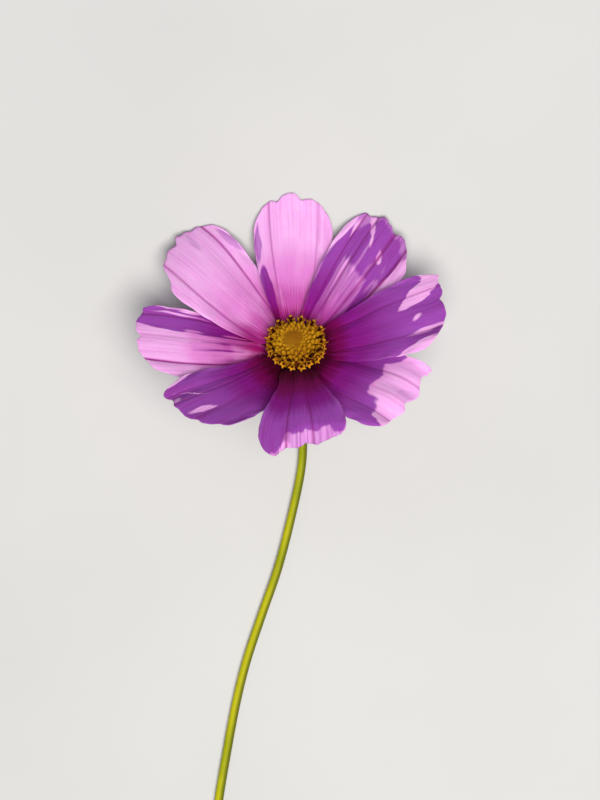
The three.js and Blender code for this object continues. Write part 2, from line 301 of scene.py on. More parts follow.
@dataclass(frozen=True)
class PetalFinish:
    """Thin matte petal skin: maroon claw, pink-lilac blade, fine veins, painted shade and light.

    It reads the blade's own UV map and two attributes: "crease" is 1 along a fold, where painted
    shade darkens the crease, and the other is 1 where painted shade gives the blade its deepest purple.
    """

    seed: int
    root: float = 1.0
    deep: float = 1.0
    # The claw and throat are the petal's own dark base, which root stretches out as painted shade under
    # the disc.
    claw: tuple = (0.06, 0.0, 0.010)
    throat: tuple = (0.34, 0.001, 0.13)
    # Painted shade where neighbouring petals overlap near the root.
    overlap_shade: tuple = (0.28, 0.006, 0.15)
    warm: tuple = (0.46, 0.075, 0.33)
    middle: tuple = (0.67, 0.23, 0.58)
    edge: tuple = (0.75, 0.38, 0.71)
    # Painted shade in the creases.
    fold: tuple = (0.30, 0.010, 0.22)
    vein: tuple = (0.58, 0.13, 0.50)
    pale: tuple = (0.88, 0.49, 0.82)
    # Painted shade: the deeper purples that stand in for shade on the lower petals, from root to tip.
    painted_shade_root: tuple = (0.15, 0.001, 0.07)
    painted_shade_middle: tuple = (0.20, 0.008, 0.20)
    painted_shade: tuple = (0.29, 0.060, 0.37)

    def lit(
        self, sheet: Sheet, side: object, spread: object, streaks: object, clouds: object
    ) -> NodeSocket:
        """The colour from maroon claw to pink tip, with painted shade in magenta on the flanks next to
        the disc, where neighbouring petals overlap.

        Side is 0 on the midrib and 1 on the edges; spread is the uneven share of the length.
        """
        root = self.root
        colour = sheet.ramp(spread, [
            (0.0, self.claw), (0.03 * root, self.claw), (0.1 * root, self.throat),
            (0.22 * root, self.warm), (min(0.7, 0.42 * root), self.middle),
            (0.72, self.edge), (1.0, self.edge)])
        colour = sheet.tint(colour, self.vein, sheet.step(streaks, 0.46, 0.62), 0.3)
        colour = sheet.tint(colour, self.pale, sheet.step(clouds, 0.45, 0.75), 0.25)
        # Painted shade of the overlapping petals: the sides near the root go magenta.
        overlap_shade = sheet.times(sheet.step(side, 0.5, 0.85), sheet.less(1.0, sheet.step(spread, 0.16, 0.5)))
        return sheet.tint(colour, self.overlap_shade, overlap_shade, 0.9)

    def shaded(self, sheet: Sheet, spread: object, streaks: object) -> NodeSocket:
        """Painted shade: the deeper purple that shows where the painted-shade attribute is high,
        darkened further by deep.
        """
        root = self.root
        shade = sheet.ramp(spread, [
            (0.0, self.claw), (0.08 * root, self.claw), (0.16 * root, self.painted_shade_root),
            (min(0.55, 0.26 * root), self.painted_shade_middle), (0.75, self.painted_shade), (1.0, self.painted_shade)])
        shade = sheet.tint(shade, self.overlap_shade, sheet.step(streaks, 0.5, 0.66), 0.25)
        return sheet.mix(1.0, shade, (self.deep, self.deep, self.deep), "MULTIPLY")

    def build(self, face: Face) -> Material:
        """The material of one face."""
        sheet = Sheet(f"petal {self.seed} {face.value}")
        across, along = sheet.uv()
        side = sheet.math("ABSOLUTE", sheet.math("MULTIPLY_ADD", across, 2.0, -1.0))
        streaks = sheet.streaks((46.0, 1.6), self.seed, 4.0)
        clouds = sheet.streaks((4.0, 5.0), self.seed)
        spread = sheet.shifted(along, streaks, 0.24)
        # Share of painted shade on the blade, made uneven by the streaks.
        painted_shade = sheet.step(sheet.shifted(sheet.attribute("painted_shade"), streaks, 0.35), 0.2, 0.8)
        colour = self.lit(sheet, side, spread, streaks, clouds)
        colour = sheet.mix(painted_shade, colour, self.shaded(sheet, spread, streaks))
        # Painted shade along the creases, going to the deepest maroon where painted shade lies.
        depth = sheet.math("MULTIPLY", sheet.step(sheet.attribute("crease"), 0.15, 1.0),
                           sheet.math("MULTIPLY_ADD", clouds, 0.6, 0.65), clamp=True)
        depth = sheet.times(depth, sheet.less(1.0, sheet.times(painted_shade, 0.35)))
        colour = sheet.mix(depth, colour, sheet.mix(painted_shade, self.fold, self.painted_shade_root))
        border = sheet.times(sheet.step(side, 0.94, 1.0), sheet.step(along, 0.35, 0.75))
        border = sheet.times(border, sheet.less(0.35, sheet.times(painted_shade, 0.3)))
        colour = sheet.mix(border, colour, self.pale)
        if face is Face.OUTER:
            colour = sheet.mix(0.3, colour, self.pale)
        sheet.relief(sheet.math("MULTIPLY_ADD", clouds, 0.4, streaks), 0.00012, 0.5)
        return sheet.done(
            colour, Roughness=0.6, Specular_IOR_Level=0.06, Specular_Tint=(1.0, 0.7, 0.95, 1.0),
            Sheen_Weight=0.02, Sheen_Roughness=0.5, Sheen_Tint=(1.0, 0.62, 0.95, 1.0),
            Subsurface_Weight=0.5, Subsurface_Scale=0.0004, Subsurface_Radius=(1.0, 0.12, 0.8))


@dataclass(frozen=True)
class GrainFinish:
    """Granular matte skin, such as pollen, buds and anthers."""

    name: str
    light: tuple
    dark: tuple
    scale: float = 1800.0
    depth: float = 0.00008
    roughness: float = 0.8
    gloss: float = 0.12

    def build(self) -> Material:
        """The material."""
        sheet = Sheet(self.name)
        grains = sheet.grain(sheet.place(), self.scale, 4.0)
        patches = sheet.grain(sheet.place(), self.scale / 5, 2.0)
        both = sheet.math("MULTIPLY_ADD", grains, 0.6, sheet.times(patches, 0.4))
        sheet.relief(grains, self.depth, 0.8)
        return sheet.done(sheet.mix(sheet.step(both, 0.35, 0.65), self.dark, self.light),
                          Roughness=self.roughness, Specular_IOR_Level=self.gloss,
                          Subsurface_Weight=0.1, Subsurface_Scale=0.0004)


@dataclass(frozen=True)
class LeafFinish:
    """Satin green skin with lengthwise veins on a blade's own UV map."""

    name: str
    root: tuple
    tip: tuple
    vein: tuple
    roughness: float = 0.45

    def build(self) -> Material:
        """The material."""
        sheet = Sheet(self.name)
        streaks = sheet.streaks((14.0, 2.0))
        colour = sheet.mix(sheet.step(sheet.uv()[1], 0.1, 0.9), self.root, self.tip)
        colour = sheet.tint(colour, self.vein, sheet.step(streaks, 0.5, 0.65), 0.5)
        sheet.relief(streaks, 0.00012, 0.6)
        return sheet.done(colour, Roughness=self.roughness, Specular_IOR_Level=0.4,
                          Subsurface_Weight=0.12, Subsurface_Scale=0.0006)


@dataclass(frozen=True)
class StemFinish:
    """Smooth yellow-green skin with faint greener streaks and patches, and painted shade on one side.
    """

    lit: tuple = (0.44, 0.42, 0.006)
    green: tuple = (0.24, 0.28, 0.003)
    near_head: tuple = (0.41, 0.41, 0.005)
    shaded: tuple = (0.11, 0.12, 0.002)

    def build(self) -> Material:
        """The material."""
        sheet = Sheet("stem skin")
        across, along = sheet.uv()
        streaks = sheet.streaks((22.0, 14.0))
        patches = sheet.grain(sheet.place(), 60.0)
        colour = sheet.mix(sheet.step(patches, 0.35, 0.7), self.lit, self.green)
        colour = sheet.tint(colour, self.green, sheet.step(streaks, 0.5, 0.7), 0.35)
        colour = sheet.mix(sheet.less(1.0, sheet.step(along, 0.0, 0.12)), colour, self.near_head)
        # Painted shade on the stem's right side, as though lit from the left.
        painted_shade_side = sheet.times(sheet.math("SINE", sheet.times(across, TAU)), -1.0)
        colour = sheet.tint(colour, self.shaded, sheet.step(painted_shade_side, -0.35, 0.75), 0.95)
        sheet.relief(streaks, 0.00010, 0.6)
        return sheet.done(colour, Roughness=0.5, Specular_IOR_Level=0.1,
                          Subsurface_Weight=0.1, Subsurface_Scale=0.0006)


@dataclass(frozen=True)
class CutFinish:
    """Moist cut face: pale pith inside a greener ring."""

    centre: Vector
    pith: tuple = (0.62, 0.66, 0.34)
    ring: tuple = (0.24, 0.32, 0.04)

    def build(self) -> Material:
        """The material."""
        sheet = Sheet("stem cut")
        ends = {0: sheet.place(), 1: self.centre}
        distance = sheet.node("ShaderNodeVectorMath", ends, operation="DISTANCE").outputs["Value"]
        pores = sheet.grain(sheet.place(), 3500.0)
        colour = sheet.mix(sheet.step(distance, 0.0008, 0.00125), self.pith, self.ring)
        colour = sheet.tint(colour, self.ring, pores, 0.25)
        sheet.relief(pores, 0.00006)
        return sheet.done(colour, Roughness=0.35, Specular_IOR_Level=0.5)


# ---- The head's place ----

@dataclass(frozen=True)
class HeadPose:
    """Where the head sits above the table and how far it leans towards +Y."""

    x: float = 1.4
    y: float = 51.2
    height: float = 18.55
    lean: float = 44.0

    def centre(self) -> Vector:
        """The head's centre."""
        return Vector((self.x, self.y, self.height))

    def axis(self) -> Vector:
        """The way that the head faces."""
        lean = radians(self.lean)
        return Vector((0.0, sin(lean), cos(lean)))

    def matrix(self) -> Matrix:
        """From the head's own frame to the flower's."""
        return Matrix.Translation(self.centre()) @ Matrix.Rotation(-radians(self.lean), 4, "X")


# ---- Petals ----

@dataclass(frozen=True)
class Claw:
    """The narrow, steep root that a petal has: where it starts, and its slope in degrees.

    The slope fades over a share of the length, reach, and the blade widens from a share of its
    full width at the root to all of it at end.
    """

    radius: float = 5.0
    z: float = -2.6
    angle: float = 60.0
    reach: float = 0.07
    width: float = 0.45
    end: float = 0.15


@dataclass(frozen=True)
class Fold:
    """A lengthwise crease: its side at the root and at the tip, its depth and its width.

    A negative depth makes a ridge. Width is a share of the blade's half width.
    """

    root: float
    tip: float
    depth: float
    width: float

    def at(self, s: float, t: float) -> float:
        """Strength of the crease at a point, nearly 1 on its line and fading out at the root."""
        gap = t - blend(self.root, self.tip, s)
        return exp(-sqrt(gap * gap + 0.0002) / self.width) * smooth(s, 0.0, 0.25)


@dataclass(frozen=True)
class Swell:
    """A soft rise of the blade round one place; a negative height makes a hollow."""

    s: float
    t: float
    height: float
    length: float
    width: float

    def at(self, s: float, t: float) -> float:
        """Height added at a point."""
        along, across = (s - self.s) / self.length, (t - self.t) / self.width
        return self.height * exp(-along ** 2 - across ** 2)


@dataclass(frozen=True)
class PaintedShadingPatch:
    """A patch of painted shade, a deeper purple, in the blade, or of painted light, a paler pink,
    where its strength is negative.

    Slant moves the patch to the side as s rises. Its edge is uneven, and soft over a narrow band.
    """

    s: float
    t: float
    strength: float
    length: float
    width: float
    slant: float = 0.0

    def at(self, s: float, t: float) -> float:
        """Depth of painted shade at a point, or of painted light where it is negative."""
        wander = Vector((t * 9, s * 5, self.s * 50 + self.t * 20))
        along = (s + 0.022 * noise.noise(wander) - self.s) / self.length
        middle = self.t + self.slant * (s - self.s)
        across = (t + 0.05 * noise.noise(wander * 1.7) - middle) / self.width
        gap = (hypot(along, across) - 1) * min(self.length, self.width)
        return self.strength * (1 - smooth(gap, -PAINTED_SHADING_EDGE, PAINTED_SHADING_EDGE))


@dataclass(frozen=True)
class Lip:
    """A rim that is folded back across the tip.

    Turn is its angle in degrees, bend the share of the length that it takes, and fold the share
    where it starts, which moves out by slant to the right side, so that it runs off the tip.
    """

    turn: float = 0.0
    fold: float = 0.9
    bend: float = 0.08
    slant: float = 0.0

    def at(self, q: float, t: float) -> float:
        """Degrees added to the slope at a point."""
        line = self.fold + self.slant * smooth(t, -0.2, 0.8)
        return self.turn * smooth(q, line, line + self.bend)


@dataclass(frozen=True)
class Petal:
    """One ray petal: a blade with its own outline, pleats and curl.

    The left side (t below 0) is the counter-clockwise one. Angles are degrees above the head's
    plane; curl adds to the slope between curl_from and curl_to of the length. A notch is its side,
    its depth and its width, and a negative depth makes a tooth. Root sets how far the claw's maroon
    reaches, partly the petal's own colour and partly painted shade from the disc, and deep how light
    the painted shade's purple is. The patches lay painted shade and painted light on the blade.
    """

    number: int
    azimuth: float
    length: float
    shoulder: float
    notches: tuple
    folds: tuple[Fold, ...]
    painted_shading: tuple[PaintedShadingPatch, ...]
    swells: tuple[Swell, ...] = ()
    half_width: float = 9.6
    rise: float = 14.0
    lift: float = 0.0
    roll: float = 0.0
    roll_tip: float = 0.0
    curl: float = 0.0
    curl_from: float = 0.75
    curl_to: float = 1.0
    lip: Lip = Lip()
    skew: float = 0.0
    left: float = 1.0
    right: float = 1.0
    full_left: float = 1.0
    full_right: float = 1.0
    neck: float = 0.36
    pleat: float = 0.5
    ruffle: float = 0.0
    root: float = 1.0
    deep: float = 1.0
    claw: Claw = Claw()
    thickness: float = 0.24
    columns: int = 120
    rows: int = 84

    def slope(self, q: float, t: float) -> float:
        """Slope of the blade in radians, a share q of the length from the root."""
        root = (self.claw.angle - self.rise) * exp(-q / self.claw.reach)
        curl = self.curl * smooth(q, self.curl_from, self.curl_to)
        return radians(self.rise + root + curl + self.lip.at(q, t))

    def reach(self, t: float) -> float:
        """Share of the length at which the tip's outline lies."""
        out = self.shoulder + (1 - self.shoulder) * sqrt(max(0.0, 1 - t * t)) + self.skew * t
        for at, deep, wide in self.notches:
            out -= deep * exp(-(((t - at) / wide) ** 2))
        return out + TEETH * noise.noise(Vector((t * 9, self.number * 7.3, 0.0)))

    def side(self, s: float, t: float) -> float:
        """Distance from the midrib, counter-clockwise side negative."""
        claw = blend(self.claw.width, 1.0, smooth(s, 0, self.claw.end))
        full = self.full_right if t > 0 else self.full_left
        fullness = 1 + (full - 1) * smooth(s, 0.05, 0.4)
        wide = blend(self.neck, 1.0, sin(pi / 2 * s) ** fullness)
        return t * self.half_width * wide * claw * (self.right if t > 0 else self.left)

    def crease(self, s: float, t: float) -> float:
        """How much of a fold runs through a point, 0 to 1."""
        marks = (abs(fold.depth) / FULL_CREASE * fold.at(s, t) ** 2 for fold in self.folds)
        return min(1.0, sum(marks))

    def relief(self, s: float, t: float) -> float:
        """Height of pleats, waves and veins over the blade's plain surface."""
        spread = smooth(s, 0.03, 0.35)
        pleat = self.pleat * (sqrt(cos(pi * t) ** 2 + 0.05) - 0.62)
        wave = sin(3 * pi * t) * smooth(s, 0.55, 1)
        seed = self.number * 11.7
        veins = cos(VEINS * pi * (t + 0.03 * noise.noise(Vector((s * 4, t * 2, seed)))))
        crumple = noise.noise(Vector((t * 2.6, s * 5.0, seed + 5)))
        edge = sin(s * 26 + seed) * smooth(abs(t), 0.78, 1.0) * smooth(s, 0.3, 0.6)
        return (spread * (pleat + VEIN_HEIGHT * veins + CRUMPLE * crumple)
                - sum(fold.depth * fold.at(s, t) for fold in self.folds)
                + sum(swell.at(s, t) for swell in self.swells)
                + self.ruffle * wave + EDGE_WAVE * edge)

    def column(self, t: float, shares: Sequence[float]) -> list[Vector]:
        """Points of one column of the blade, from the root to the tip.

        Args:
            t: The column's side, -1 to 1.
            shares: The places along it, rising from 0 to 1.

        Returns:
            Points with x outwards, y to the counter-clockwise side and z along the head's axis.
        """
        radius = self.claw.radius
        height = self.claw.z + self.lift
        reach = self.reach(t)
        q = 0.0
        points = []
        for s in shares:
            for left in (3, 2, 1):
                move = (s * reach - q) / left
                slope = self.slope(q + move / 2, t)
                radius += cos(slope) * move * self.length
                height += sin(slope) * move * self.length
                q += move
            slope = self.slope(q, t)
            side = self.side(s, t)
            roll = radians(blend(self.roll, self.roll_tip, s))
            lift = self.relief(s, t) - side * tan(roll)
            points.append(Vector((radius - sin(slope) * lift, -side * cos(roll),
                                  height + cos(slope) * lift)))
        return points

    def build(self, head: HeadPose) -> None:
        """Makes the blade, with its thickness, and puts it in the place of its solid."""
        bm = bmesh.new()
        bmesh.ops.create_grid(bm, x_segments=self.columns, y_segments=self.rows, size=1.0)
        layer = bm.loops.layers.uv.new("blade")
        crease = bm.verts.layers.float.new("crease")
        painted_shade = bm.verts.layers.float.new("painted_shade")
        places = {v: (sin(pi / 2 * v.co.x), ((v.co.y + 1) / 2) ** 1.15) for v in bm.verts}
        map_blades(bm, layer, places)
        # The blade is worked out column by column, as each point stands on the one before it.
        columns: dict[float, list] = {}
        for vert, (t, s) in places.items():
            vert[crease] = self.crease(s, t)
            # Painted shade and painted light from the blade's patches, summed and kept between 0 and 1.
            vert[painted_shade] = min(1.0, max(0.0, sum(patch.at(s, t) for patch in self.painted_shading)))
            columns.setdefault(round(t, 6), []).append((s, vert))
        for t, entries in columns.items():
            for (s, vert), point in zip(entries, self.column(t, [s for s, _ in entries])):
                vert.co = point
        bmesh.ops.recalc_face_normals(bm, faces=bm.faces)
        if sum(face.normal.z for face in bm.faces) < 0:
            bmesh.ops.reverse_faces(bm, faces=bm.faces)
        turn = Matrix.Rotation(radians(self.azimuth), 4, "Z")
        finish = PetalFinish(self.number, self.root, self.deep)
        piece = finish_mesh(bm, f"petal_{self.number}_blade", head.matrix() @ turn,
                            [finish.build(Face.INNER), finish.build(Face.OUTER)])
        thicken(piece, self.thickness, back=1)
        hand_over(piece, f"petal_{self.number}")


PETALS = (
    Petal(
        1, 91.5, length=36.5, rise=15, roll=15, curl=19, curl_from=0.5, shoulder=0.72, pleat=0.3,
        root=1.1,
        notches=((-0.38, 0.036, 0.1), (0.24, 0.04, 0.12), (0.42, 0.014, 0.12)),
        folds=(Fold(-0.62, -0.6, 0.22, 0.09), Fold(0.62, 0.66, 0.18, 0.08),
            Fold(0.1, 0.2, 0.06, 0.05)),
        painted_shading=(PaintedShadingPatch(0.8, -0.93, 0.6, 0.17, 0.09), PaintedShadingPatch(0.28, -0.98, 1.0, 0.3, 0.22))),
    Petal(
        2, 55.5, length=36.0, half_width=9.2, rise=15.5, roll=15, roll_tip=4, curl=-5.5,
        curl_from=0.55, shoulder=0.76, skew=-0.02, left=0.86, right=1.26, full_right=0.8,
        pleat=0.75, root=0.8,
        notches=((-0.7, -0.03, 0.13), (-0.06, -0.02, 0.12), (0.3, 0.036, 0.1), (0.1, 0.008, 0.08),
            (0.9, 0.045, 0.17)),
        folds=(Fold(-0.66, -0.64, 0.3, 0.08), Fold(-0.2, -0.25, 0.3, 0.08),
            Fold(0.3, 0.34, 0.35, 0.08), Fold(0.66, 0.74, 0.35, 0.08)),
        painted_shading=(PaintedShadingPatch(0.62, 0.0, 0.56, 0.56, 1.6), PaintedShadingPatch(0.78, 0.1, 0.4, 0.19, 0.75),
            PaintedShadingPatch(0.45, -0.75, 0.5, 0.42, 0.24), PaintedShadingPatch(0.5, 0.55, 0.4, 0.3, 0.08, -0.3),
            PaintedShadingPatch(0.92, -1.0, -1.4, 0.13, 0.19), PaintedShadingPatch(0.7, 0.93, -1.2, 0.33, 0.17),
            PaintedShadingPatch(0.85, -0.7, -0.9, 0.08, 0.045), PaintedShadingPatch(0.9, -0.2, -0.9, 0.11, 0.07, -2.2),
            PaintedShadingPatch(0.78, 0.35, -0.8, 0.06, 0.05, -1.5), PaintedShadingPatch(0.44, -0.14, -0.08, 0.24, 0.16, -1.0),
            PaintedShadingPatch(0.68, 0.3, -0.4, 0.15, 0.045), PaintedShadingPatch(0.7, 0.02, -0.4, 0.18, 0.04),
            PaintedShadingPatch(0.66, 0.56, -0.45, 0.16, 0.045), PaintedShadingPatch(0.6, -0.32, -0.3, 0.16, 0.04))),
    Petal(
        3, 12.5, length=33.2, rise=15.5, lift=0.95, shoulder=0.78, skew=-0.06, left=0.94,
        right=1.22, full_left=1.6, full_right=0.8, ruffle=0.35, root=1.2,
        notches=((-0.07, 0.033, 0.13), (-0.8, -0.05, 0.12), (0.33, -0.014, 0.1),
            (0.87, -0.01, 0.16)),
        folds=(Fold(-0.5, -0.45, 0.2, 0.1), Fold(0.2, 0.1, 0.15, 0.08), Fold(0.6, 0.55, 0.2, 0.1)),
        swells=(Swell(0.55, -0.5, 0.5, 0.25, 0.4), Swell(0.92, 0.3, -0.7, 0.16, 0.5)),
        painted_shading=(PaintedShadingPatch(0.5, 0.0, 1.0, 0.8, 1.8), PaintedShadingPatch(0.88, -0.55, -1.3, 0.2, 0.27, -1.9),
            PaintedShadingPatch(0.79, 0.2, -0.9, 0.035, 0.045, -1.0), PaintedShadingPatch(0.88, 0.52, -0.9, 0.17, 0.05, -0.3),
            PaintedShadingPatch(0.93, 0.95, -1.2, 0.17, 0.18))),
    Petal(
        4, -33, length=31, half_width=9.8, rise=13, lift=-0.6, curl=-40, curl_from=0.6,
        shoulder=0.77, skew=-0.06, left=1.09, right=1.22, full_right=0.5, ruffle=0.6, root=1.45,
        notches=((-0.64, 0.11, 0.22), (-0.4, 0.04, 0.14), (-0.02, 0.085, 0.3), (0.14, 0.03, 0.1),
            (0.5, 0.045, 0.22), (-1.0, -0.04, 0.06), (0.92, -0.015, 0.15)),
        folds=(Fold(-0.45, -0.4, 0.2, 0.1), Fold(0.15, 0.1, 0.15, 0.08), Fold(0.6, 0.6, 0.2, 0.1)),
        painted_shading=(PaintedShadingPatch(0.2, 0.0, 1.0, 0.45, 3.0), PaintedShadingPatch(0.7, 0.95, 1.0, 0.16, 0.65),
            PaintedShadingPatch(0.85, 1.02, 1.0, 0.2, 0.25), PaintedShadingPatch(0.64, -1.0, 1.0, 0.12, 0.35),
            PaintedShadingPatch(0.94, -0.1, 0.4, 0.09, 0.2))),
    Petal(
        5, -88, length=31.0, rise=18, lift=0.7, curl=-30, curl_from=0.3, curl_to=0.95,
        lip=Lip(-50, 0.67, 0.07, 0.23), shoulder=0.76, skew=0.03, left=1.12, full_left=2.3,
        full_right=2.8, root=2.2, deep=0.88, claw=Claw(width=0.52, end=0.2),
        notches=((-0.08, 0.13, 0.38), (-0.68, 0.09, 0.35), (0.33, 0.06, 0.18), (-0.12, 0.012, 0.05),
            (-0.35, -0.012, 0.07), (0.5, 0.02, 0.12)),
        folds=(Fold(-0.25, -0.3, 0.3, 0.08), Fold(0.3, 0.35, 0.3, 0.08),
            Fold(0.8, 0.75, 0.15, 0.08)),
        painted_shading=(PaintedShadingPatch(0.4, 0.0, 1.0, 0.45, 3.0), PaintedShadingPatch(0.8, 1.0, 1.0, 0.4, 0.58),
            PaintedShadingPatch(0.84, -1.05, 1.0, 0.13, 0.35), PaintedShadingPatch(0.95, -0.2, 0.49, 0.16, 0.9),
            PaintedShadingPatch(1.0, 0.5, -0.9, 0.06, 0.22))),
    Petal(
        6, -140, length=33.6, roll=-13, shoulder=0.66, skew=0.09, left=1.11, right=0.79,
        full_left=0.5, full_right=3.5, ruffle=0.4, root=1.5, deep=0.85,
        notches=((0.47, 0.075, 0.17), (0.3, 0.02, 0.1), (0.0, 0.045, 0.3), (-0.77, 0.025, 0.08),
            (-0.42, 0.025, 0.08), (-0.97, -0.04, 0.1), (0.93, 0.05, 0.07), (0.72, -0.012, 0.1)),
        folds=(Fold(-0.4, -0.4, 0.2, 0.1), Fold(0.1, 0.2, 0.25, 0.08), Fold(0.5, 0.6, 0.25, 0.08)),
        painted_shading=(PaintedShadingPatch(0.5, 0.0, 1.0, 0.75, 3.0), PaintedShadingPatch(0.98, 0.95, -1.2, 0.08, 0.12),
            PaintedShadingPatch(0.82, 0.33, -0.8, 0.11, 0.035, 2.6), PaintedShadingPatch(0.85, -0.24, -0.7, 0.12, 0.08, 0.6),
            PaintedShadingPatch(0.97, 0.35, -0.7, 0.04, 0.1))),
    Petal(
        7, -177, length=34.7, rise=13, lift=-0.75, shoulder=0.8, skew=0.03, left=1.08, right=1.06,
        full_right=1.15, root=1.4,
        notches=((0.09, 0.036, 0.1), (-0.97, 0.1, 0.12), (-0.62, 0.028, 0.18), (0.52, -0.01, 0.1),
            (0.9, -0.03, 0.07)),
        folds=(Fold(-0.76, -0.52, 0.4, 0.07), Fold(0.2, 0.15, 0.15, 0.07),
            Fold(0.92, 0.74, 0.3, 0.08)),
        painted_shading=(PaintedShadingPatch(0.5, 0.77, 1.0, 0.62, 0.45), PaintedShadingPatch(0.72, 0.86, -0.8, 0.22, 0.035),
            PaintedShadingPatch(0.3, 0.45, -0.8, 0.1, 0.05), PaintedShadingPatch(0.6, 0.4, -0.6, 0.08, 0.05),
            PaintedShadingPatch(0.3, 0.08, 0.5, 0.22, 0.04), PaintedShadingPatch(0.34, -0.18, 0.48, 0.2, 0.035),
            PaintedShadingPatch(0.3, -0.5, 0.5, 0.15, 0.04), PaintedShadingPatch(0.48, -0.15, 0.3, 0.16, 0.3),
            PaintedShadingPatch(0.62, 1.0, -1.0, 0.36, 0.045))),
    Petal(
        8, 137, length=38.1, rise=15, roll=14, curl=-23, curl_from=0.55, shoulder=0.73, skew=0.035,
        left=1.22, right=1.09, full_left=0.75, pleat=0.35, root=0.8,
        notches=((-0.85, 0.085, 0.16), (-0.08, 0.046, 0.1), (-0.46, 0.036, 0.18), (-0.2, 0.02, 0.1),
            (0.22, 0.022, 0.09), (0.46, 0.024, 0.1), (0.96, -0.02, 0.13)),
        folds=(Fold(-0.85, -0.62, 0.25, 0.08), Fold(0.62, 0.72, 0.3, 0.08),
            Fold(0.4, 0.3, 0.1, 0.07)),
        painted_shading=(PaintedShadingPatch(0.9, 0.25, 0.42, 0.11, 0.07, 0.5), PaintedShadingPatch(0.84, 0.93, 0.5, 0.12, 0.11),
            PaintedShadingPatch(0.22, 0.95, 0.4, 0.2, 0.16))),
)


# ---- Disc ----

@dataclass(frozen=True)
class Ring:
    """A ring of open florets: where they sit, how they lean and what they show.

    Tall and wide size the anther tube. Spread is how far the lobes' tips stand from the floret's
    axis, stand is how high they reach, and inner is the share of that on the disc's side. Florets
    on the lower side, where the sine of the azimuth is under dusty, have shed their pollen.
    """

    count: int
    radius: float
    lean: float
    phase: float
    tall: float
    wide: float
    spread: float
    stand: float
    inner: float
    dusty: float


